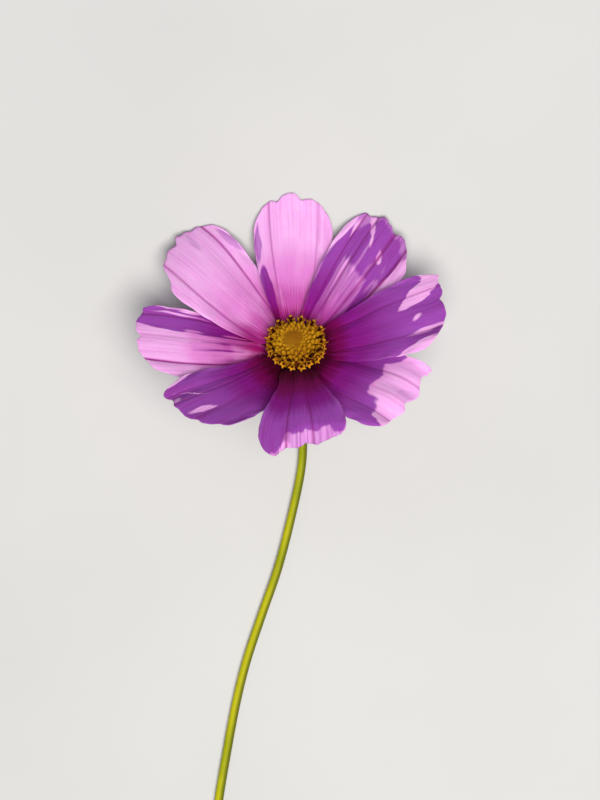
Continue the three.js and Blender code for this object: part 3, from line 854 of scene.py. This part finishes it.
@dataclass
class Disc:
    """The golden centre: a dome on a stalk, covered with buds and open florets.

    Buds fill the bud field, which droops towards the stem, and the dome has painted shade from
    shade_from outwards, in the gaps between the open florets. Tube and mouth are the radii of a
    floret at its root and where its lobes begin.
    """

    head: HeadPose
    stalk: float = 5.1
    floor: float = -5.6
    neck: float = -1.2
    rim_radius: float = 6.7
    rim_z: float = 1.0
    top: float = 3.7
    bud_field: float = 5.5
    droop: float = 0.55
    bud_sizes: tuple = (0.27, 0.58)
    shade_from: float = 4.4
    tube: float = 0.38
    mouth: float = 0.56
    smooth_spot: Vector = Vector((-1.3, 0.9))
    rings: tuple = (
        Ring(count=20, radius=6.2, lean=70, phase=0.5, tall=0.5, wide=0.27, spread=1.15, stand=1.0,
             inner=0.7, dusty=2.0),
        Ring(count=14, radius=5.4, lean=34, phase=0.0, tall=1.9, wide=0.37, spread=1.3, stand=2.2,
             inner=0.3, dusty=-0.45),
    )
    chance: random.Random = field(default_factory=lambda: random.Random(41))
    gold: GrainFinish = GrainFinish("floret gold", (0.54, 0.24, 0.006), (0.34, 0.11, 0.002))
    bud: GrainFinish = GrainFinish("bud gold", (0.42, 0.205, 0.003), (0.31, 0.13, 0.001), 1200.0)
    young: GrainFinish = GrainFinish(
        "young bud ochre", (0.29, 0.12, 0.001), (0.24, 0.088, 0.001), 1200.0)
    brown: GrainFinish = GrainFinish(
        "anther brown", (0.04, 0.005, 0.002), (0.014, 0.002, 0.001), gloss=0.04)
    # Painted shade for the gaps between the open florets at the rim.
    gap: GrainFinish = GrainFinish(
        "shaded gap", (0.075, 0.013, 0.002), (0.035, 0.005, 0.001), gloss=0.04)
    pollen: GrainFinish = GrainFinish(
        "pollen", (0.55, 0.26, 0.012), (0.34, 0.12, 0.004), 2500.0, 0.00012, 0.9)

    def dome_height(self, radius: float) -> float:
        """Height of the dome at a radius."""
        return self.rim_z + (self.top - self.rim_z) * (1 - (radius / self.rim_radius) ** 2)

    def seat(self, angle: float, radius: float, lean: float) -> Matrix:
        """Place of a floret on the dome, leaning outwards by a number of degrees."""
        spot = Vector((radius * cos(angle), radius * sin(angle), self.dome_height(radius)))
        turn = Matrix.Rotation(angle, 4, "Z") @ Matrix.Rotation(radians(lean), 4, "Y")
        return Matrix.Translation(spot) @ turn

    def dome(self) -> Object:
        """The dome and its stalk, with painted shade where open florets stand on it."""
        outline = [(0.0, self.floor), (self.stalk - 0.8, self.floor), (self.stalk, self.floor + 1.6),
                   (self.stalk, self.neck), (self.rim_radius - 0.9, self.rim_z - 0.7)]
        crown = [self.rim_radius * (1 - i / 12) for i in range(13)]
        outline += [(radius, self.dome_height(radius)) for radius in crown]
        bm = spun(outline, 48)
        # Painted shade on the dome beyond shade_from.
        for face in bm.faces:
            if face.calc_center_median().to_2d().length > self.shade_from:
                face.material_index = 1
        return finish_mesh(bm, "disc_dome", self.head.matrix(), [self.young.build(), self.gap.build()])

    def buds(self) -> Object:
        """Closed florets in a golden-angle spiral, tight in the middle and larger outwards."""
        bm = bmesh.new()
        draw = self.chance.uniform
        area = turn = 0.0
        while sqrt(area) < self.bud_field:
            radius = sqrt(area)
            grown = smooth(radius, 1.7, 3.9)
            size = blend(*self.bud_sizes, grown) * draw(1 - 0.2 * grown, 1 + 0.15 * grown)
            moved = Vector((radius * cos(turn), radius * sin(turn)))
            moved += self.smooth_spot * (1 - radius / self.bud_field)
            moved.y -= self.droop * radius / self.bud_field
            moved += Vector([draw(-0.22, 0.22) for _ in range(2)]) * grown
            lean = 5.5 * moved.length + draw(-12, 12) * grown
            seat = self.seat(atan2(moved.y, moved.x), moved.length, lean)
            made = bmesh.ops.create_uvsphere(bm, u_segments=10, v_segments=6, radius=1.0)["verts"]
            if grown < 0.25 + draw(-0.2, 0.2):
                for face in {face for vert in made for face in vert.link_faces}:
                    face.material_index = 1
            for vert in made:
                ridge = 1 + 0.13 * grown * cos(5 * atan2(vert.co.y, vert.co.x))
                ridge *= 1 - 0.25 * grown * max(0.0, vert.co.z)
                vert.co.x *= ridge
                vert.co.y *= ridge
            stretch = Matrix.Diagonal((size, size, size * blend(0.8, 1.7, grown), 1.0))
            sink = Matrix.Translation((0, 0, size * blend(-0.58, 0.5, grown)))
            spin = Matrix.Rotation(draw(0, TAU), 4, "Z")
            bmesh.ops.transform(bm, matrix=seat @ sink @ stretch @ spin, verts=made)
            area += 0.9 * (blend(1.3, 1.72, grown) * size) ** 2 / pi
            turn += GOLDEN_ANGLE
        return finish_mesh(bm, "disc_buds", self.head.matrix(), [self.bud.build(), self.young.build()])

    def corolla(self, bm: BMesh, seat: Matrix, ring: Ring) -> None:
        """One open floret: a tube that flares into five pointed lobes, lowest on the inner side.

        Args:
            bm: The mesh that it is added to.
            seat: Its place.
            ring: The ring that it belongs to.
        """
        verts = bmesh.ops.create_cone(
            bm, cap_ends=False, segments=20, radius1=self.tube, radius2=self.mouth, depth=1.0,
            matrix=Matrix.Rotation(-TAU / 4, 4, "Z"))["verts"]
        own = set(verts)
        rim = [e for e in bm.edges if e.verts[0] in own and all(v.co.z > 0.4 for v in e.verts)]
        for share in (0.4, 0.75, 1.0):
            fresh, rim = extrude_rim(bm, rim)
            for vert in fresh:
                # Each lobe narrows to a point; turn gathers its sides as it grows.
                angle = atan2(vert.co.y, vert.co.x)
                side = blend(ring.inner, 1.0, 0.5 + 0.5 * cos(angle))
                lobe = cos(2.5 * angle) ** 2
                reach = share * side * blend(0.25, 1.0, lobe ** (0.35 + share))
                turn = (1 - lobe) * 0.35 * share * copysign(1, sin(5 * angle))
                angle -= turn * 0.4
                out = self.mouth + (ring.spread - self.mouth) * reach
                vert.co = (cos(angle) * out, sin(angle) * out,
                           0.5 + (ring.stand - 0.5) * reach)
            verts += fresh
        bmesh.ops.transform(bm, matrix=seat, verts=verts)

    def florets(self) -> list[Object]:
        """The open florets' corollas, anther tubes and pollen, each kind one piece."""
        corollas, anthers, dust = bmesh.new(), bmesh.new(), bmesh.new()
        draw = self.chance.uniform
        for ring in self.rings:
            for i in range(ring.count):
                angle = (i + ring.phase + draw(-0.13, 0.13)) / ring.count * TAU
                seat = self.seat(angle, ring.radius + draw(-0.2, 0.2), ring.lean + draw(-7, 7))
                size = draw(0.92, 1.1)
                seat @= Matrix.Rotation(draw(-0.25, 0.25), 4, "Z")
                seat @= Matrix.Scale(size, 4)
                self.corolla(corollas, seat, ring)
                tall = ring.tall * draw(0.9, 1.1)
                bmesh.ops.create_cone(
                    anthers, cap_ends=True, segments=10, radius1=ring.wide * 0.85, radius2=ring.wide,
                    depth=tall, matrix=seat @ Matrix.Translation((0, 0, 0.2 + tall / 2)))
                if sin(angle) < ring.dusty:
                    continue
                tip = Matrix.Translation((0, 0, 0.25 + tall)) @ Matrix.Diagonal((1, 1, 0.6, 1))
                clump = bmesh.ops.create_icosphere(
                    dust, subdivisions=2, radius=ring.wide * 1.02)["verts"]
                for vert in clump:
                    vert.co *= 1 + 0.7 * noise.noise(vert.co * 5 + Vector((i * 3.1, ring.radius, 0)))
                bmesh.ops.transform(dust, matrix=seat @ tip, verts=clump)
        place = self.head.matrix()
        cups = finish_mesh(corollas, "disc_corollas", place, [self.gold.build()])
        thicken(cups, 0.1, offset=-1.0)
        return [cups,
                finish_mesh(anthers, "disc_anthers", place, [self.brown.build()]),
                finish_mesh(dust, "disc_pollen", place, [self.pollen.build()])]

    def build(self) -> None:
        """Makes the disc's pieces and puts them in the place of its solid."""
        for piece in (self.dome(), self.buds(), *self.florets()):
            hand_over(piece, "disc")


# ---- Bracts ----

@dataclass(frozen=True)
class BractForm:
    """A bract's blade, in the head's frame; phase turns the row by a share of its spacing."""

    start: float
    start_z: float
    length: float
    half_width: float
    rise: float
    arch: float
    thickness: float
    phase: float

    def point(self, s: float, t: float) -> Vector:
        """A point of the blade, s from root to tip and t from side to side."""
        width = self.half_width * sin(pi * (0.18 + 0.8 * s)) ** 0.8
        slope = radians(self.rise * (1 + s))
        out = self.start + cos(slope) * self.length * s
        up = self.start_z + sin(slope) * self.length * s - self.arch * t * t
        return Vector((out, -t * width, up + 0.05 * cos(6 * pi * t)))


@dataclass(frozen=True)
class BractRow:
    """A row of bracts on the ring or cup that carries them."""

    name: str
    slot: str
    form: BractForm
    section: tuple
    finish: LeafFinish
    count: int = 8

    def base(self, place: Matrix) -> Object:
        """The ring or cup, spun from its section."""
        bm = spun(self.section, 64)
        layer = bm.loops.layers.uv.new("blade")
        for face in bm.faces:
            for loop in face.loops:
                spot = loop.vert.co
                loop[layer].uv = (abs(atan2(spot.y, spot.x)) / pi * 4, 0.2 - spot.z / 60)
        return finish_mesh(bm, f"{self.name}_base", place, [self.finish.build()])

    def blades(self, place: Matrix) -> Object:
        """The row's blades, as one piece."""
        bm = bmesh.new()
        layer = bm.loops.layers.uv.new("blade")
        places = {}
        for i in range(self.count):
            verts = bmesh.ops.create_grid(bm, x_segments=10, y_segments=18, size=1.0)["verts"]
            turn = Matrix.Rotation((i + self.form.phase) / self.count * TAU, 4, "Z")
            for vert in verts:
                t, s = vert.co.x, (vert.co.y + 1) / 2
                places[vert] = (t, s)
                vert.co = turn @ self.form.point(s, t)
        map_blades(bm, layer, places)
        bmesh.ops.recalc_face_normals(bm, faces=bm.faces)
        piece = finish_mesh(bm, f"{self.name}_blades", place, [self.finish.build()])
        thicken(piece, self.form.thickness)
        return piece

    def build(self, head: HeadPose) -> None:
        """Makes the row and puts it in the place of its solid."""
        for piece in (self.base(head.matrix()), self.blades(head.matrix())):
            hand_over(piece, self.name)


BRACT_ROWS = (
    BractRow(
        "inner_bracts", "inner_bract",
        BractForm(start=6.2, start_z=-4.3, length=4.4, half_width=2.3, rise=9, arch=0.4,
                  thickness=0.45, phase=0.5),
        ((0, -6.6), (4.0, -6.4), (6.0, -5.2), (7.0, -3.7), (6.4, -3.4), (5.4, -4.5), (3.9, -5.55),
         (0, -5.55)),
        LeafFinish("inner bract", (0.42, 0.36, 0.08), (0.50, 0.33, 0.14), (0.25, 0.24, 0.03))),
    BractRow(
        "outer_bracts", "outer_bract",
        BractForm(start=2.2, start_z=-7.3, length=8.6, half_width=0.85, rise=2, arch=-0.15,
                  thickness=0.5, phase=0.0),
        ((0, -7.6), (2.3, -7.6), (2.9, -7.25), (2.3, -6.5), (0, -6.5)),
        LeafFinish("outer bract", (0.16, 0.27, 0.02), (0.10, 0.20, 0.015), (0.24, 0.34, 0.05))),
)


# ---- Stem ----

@dataclass
class Stem:
    """The bare stem, from the neck under the head down to the table and along it.

    Its radius goes from neck over upper to cut, within a share flare of its length for the neck.
    Slant tilts the cut face. Route gives its centre line from the foot of the head: x, y, height.
    """

    head: HeadPose
    top_z: float = -7.5
    sides: int = 28
    rings: int = 170
    neck: float = 1.75
    upper: float = 0.93
    cut: float = 1.12
    flare: float = 0.035
    slant: float = 0.9
    route: tuple = (
        (0.4, -12, 8.1), (1.3, -19.5, 4.15), (1.7, -27.5, 2.1), (1.2, -34, 1.56), (-1.5, -47, 1.49),
        (-4.7, -59.4, 1.43), (-8.9, -71.8, 1.37), (-12.7, -83.6, 1.31), (-15.3, -94.3, 1.25),
        (-18.2, -110, 1.19), (-20, -121, 1.15), (-22, -137, 1.12),
    )

    def knots(self) -> list[Vector]:
        """The points that the stem's centre line passes through."""
        points = [self.head.centre() + self.head.axis() * z for z in (self.top_z, self.top_z - 3)]
        foot = Vector((self.head.x, self.head.y, 0.0))
        return points + [foot + Vector(spot) for spot in self.route]

    def line(self, samples: int = 40) -> list[Vector]:
        """The centre line, as a centripetal Catmull-Rom curve with even steps."""
        knots = self.knots()
        padded = [knots[0] * 2 - knots[1], *knots, knots[-1] * 2 - knots[-2]]
        dense = []
        for p0, p1, p2, p3 in zip(padded, padded[1:], padded[2:], padded[3:]):
            d0, d1, d2 = (sqrt((b - a).length) for a, b in ((p0, p1), (p1, p2), (p2, p3)))
            m1 = ((p1 - p0) / d0 - (p2 - p0) / (d0 + d1) + (p2 - p1) / d1) * d1
            m2 = ((p2 - p1) / d1 - (p3 - p1) / (d1 + d2) + (p3 - p2) / d2) * d1
            for i in range(samples):
                u = i / samples
                dense.append(p1 * (2 * u ** 3 - 3 * u ** 2 + 1) + m1 * (u ** 3 - 2 * u ** 2 + u)
                             + p2 * (3 * u ** 2 - 2 * u ** 3) + m2 * (u ** 3 - u ** 2))
        dense.append(knots[-1])
        return dense

    def even(self) -> list[Vector]:
        """Points of the centre line at equal distances."""
        dense = self.line()
        lengths = [0.0]
        for a, b in zip(dense, dense[1:]):
            lengths.append(lengths[-1] + (b - a).length)
        points = []
        at = 0
        for ring in range(self.rings + 1):
            goal = lengths[-1] * ring / self.rings
            while at + 2 < len(lengths) and lengths[at + 1] < goal:
                at += 1
            share = (goal - lengths[at]) / (lengths[at + 1] - lengths[at])
            points.append(dense[at].lerp(dense[at + 1], share))
        return points

    def radius(self, u: float) -> float:
        """The stem's radius, a share u of its length from the head."""
        neck = (self.neck - self.upper) * (1 - smooth(u, 0, self.flare))
        return neck + self.upper + (self.cut - self.upper) * sqrt(u)

    def section(self, points: Sequence[Vector], ring: int) -> Matrix:
        """Place and size of one ring of the stem."""
        last = len(points) - 1
        tangent = (points[min(ring + 1, last)] - points[max(ring - 1, 0)]).normalized()
        side = Vector((0, 0, 1)).cross(tangent).normalized()
        up = tangent.cross(side)
        wide = self.radius(ring / last)
        lean = tangent * (-self.slant / wide if ring == last else 0.0)
        axes = Matrix((side, up + lean, tangent)).transposed().to_4x4()
        return Matrix.Translation(points[ring]) @ axes @ Matrix.Scale(wide, 4)

    def build(self) -> None:
        """Makes the stem by drawing a ring along its centre line, closed at both ends."""
        bm = bmesh.new()
        layer = bm.loops.layers.uv.new("skin")
        circle = bmesh.ops.create_circle(bm, cap_ends=False, segments=self.sides, radius=1.0)["verts"]
        for vert in circle:
            vert.co *= 1 + 0.012 * cos(7 * atan2(vert.co.y, vert.co.x))
        points = self.even()
        place = self.section(points, 0)
        bmesh.ops.transform(bm, matrix=place, verts=circle)
        first = rim = list(bm.edges)
        along = {vert: 0.0 for vert in circle}
        around = {vert: i / self.sides for i, vert in enumerate(circle)}
        for ring in range(1, len(points)):
            fresh, rim = extrude_rim(bm, rim)
            # Each new vertex takes its place round the stem from the one that it grew from.
            near = {v: next(e.other_vert(v) for e in v.link_edges if e.other_vert(v) in along)
                    for v in fresh}
            for vert, old in near.items():
                along[vert] = ring / (len(points) - 1)
                around[vert] = around[old]
            after = self.section(points, ring)
            bmesh.ops.transform(bm, matrix=after @ place.inverted(), verts=fresh)
            place = after
        for face in bm.faces:
            # The faces that close the ring go on past 1 instead of back to 0.
            turns = [around[loop.vert] for loop in face.loops]
            wraps = max(turns) - min(turns) > 0.5
            for loop, turn in zip(face.loops, turns):
                loop[layer].uv = (turn + (1.0 if wraps and turn < 0.5 else 0.0), along[loop.vert])
        head_cap = bmesh.ops.edgeloop_fill(bm, edges=first)["faces"]
        cut_cap = bmesh.ops.edgeloop_fill(bm, edges=rim)["faces"]
        bmesh.ops.recalc_face_normals(bm, faces=bm.faces)
        for face in head_cap + cut_cap:
            face.material_index = 1
        piece = finish_mesh(bm, "stem_skin", Matrix.Identity(4),
                            [StemFinish().build(), CutFinish(points[-1] * MM).build()])
        hand_over(piece, "stem")


# ---- Studio ----

@dataclass
class Studio:
    """A pale table, soft light and the camera that looks down on the head.

    Lengths for the key light are metres. The camera aims a little aside of the head and below it.
    """

    head: HeadPose
    distance: float = 533.3
    tilt: float = 10.0
    aside: float = 0.96
    below: float = 12.7
    key_way: Vector = Vector((0.12, -0.10, 0.98))
    key_distance: float = 1.2
    key_size: float = 0.7
    key_power: float = 21.5
    key_colour: tuple = (1.0, 0.97, 0.93)

    def floor(self) -> None:
        """The pale table."""
        bm = bmesh.new()
        bmesh.ops.create_grid(bm, x_segments=1, y_segments=1, size=3000.0)
        sheet = Sheet("pale table")
        mottle = sheet.grain(sheet.place(), 9.0)
        colour = sheet.mix(sheet.step(mottle, 0.3, 0.7), (0.50, 0.50, 0.49), (0.53, 0.53, 0.52))
        table = finish_mesh(bm, "table", Matrix.Identity(4), [sheet.done(colour, Roughness=0.8)])

    def key(self) -> None:
        """A large soft light, almost straight above the head."""
        data = bpy.data.lights.new("key", "AREA")
        data.size = self.key_size
        data.energy = self.key_power
        data.color = self.key_colour
        lamp = put("key", data)
        away = self.key_way.normalized()
        lamp.location = self.head.centre() * MM + away * self.key_distance
        lamp.rotation_mode = "QUATERNION"
        lamp.rotation_quaternion = away.to_track_quat("Z", "Y")

    def world(self) -> None:
        """A soft pale surround."""
        world = bpy.data.worlds.new("surround")
        world.use_nodes = True
        backdrop = world.node_tree.nodes["Background"]
        backdrop.inputs["Color"].default_value = (0.80, 0.84, 1.0, 1.0)
        backdrop.inputs["Strength"].default_value = 0.24
        bpy.context.scene.world = world
        bpy.context.scene.view_settings.view_transform = "Standard"

    def camera(self) -> None:
        """The camera, a little past straight above the head."""
        tilt = radians(self.tilt)
        back = Vector((0, sin(tilt), cos(tilt)))
        up = Vector((0, cos(tilt), -sin(tilt)))
        data = bpy.data.cameras.new("camera")
        data.lens = 100.0
        data.sensor_width = 36.0
        data.clip_start = 0.01
        camera = put("camera", data)
        aim = self.head.centre() + Vector((self.aside, 0, 0)) - up * self.below
        camera.location = (aim + back * self.distance) * MM
        camera.rotation_euler = (-tilt, 0, 0)
        bpy.context.scene.camera = camera

    def build(self) -> None:
        """Sets up the studio."""
        self.floor()
        self.world()
        self.key()
        self.camera()


def main() -> None:
    """Builds the flower from its petals to its stem, then the studio."""
    logging.basicConfig(level=logging.INFO, format="%(name)s: %(message)s")
    head = HeadPose()
    for petal in PETALS:
        petal.build(head)
    Disc(head).build()
    for row in BRACT_ROWS:
        row.build(head)
    Stem(head).build()
    Studio(head).build()


if __name__ == "__main__":
    main()
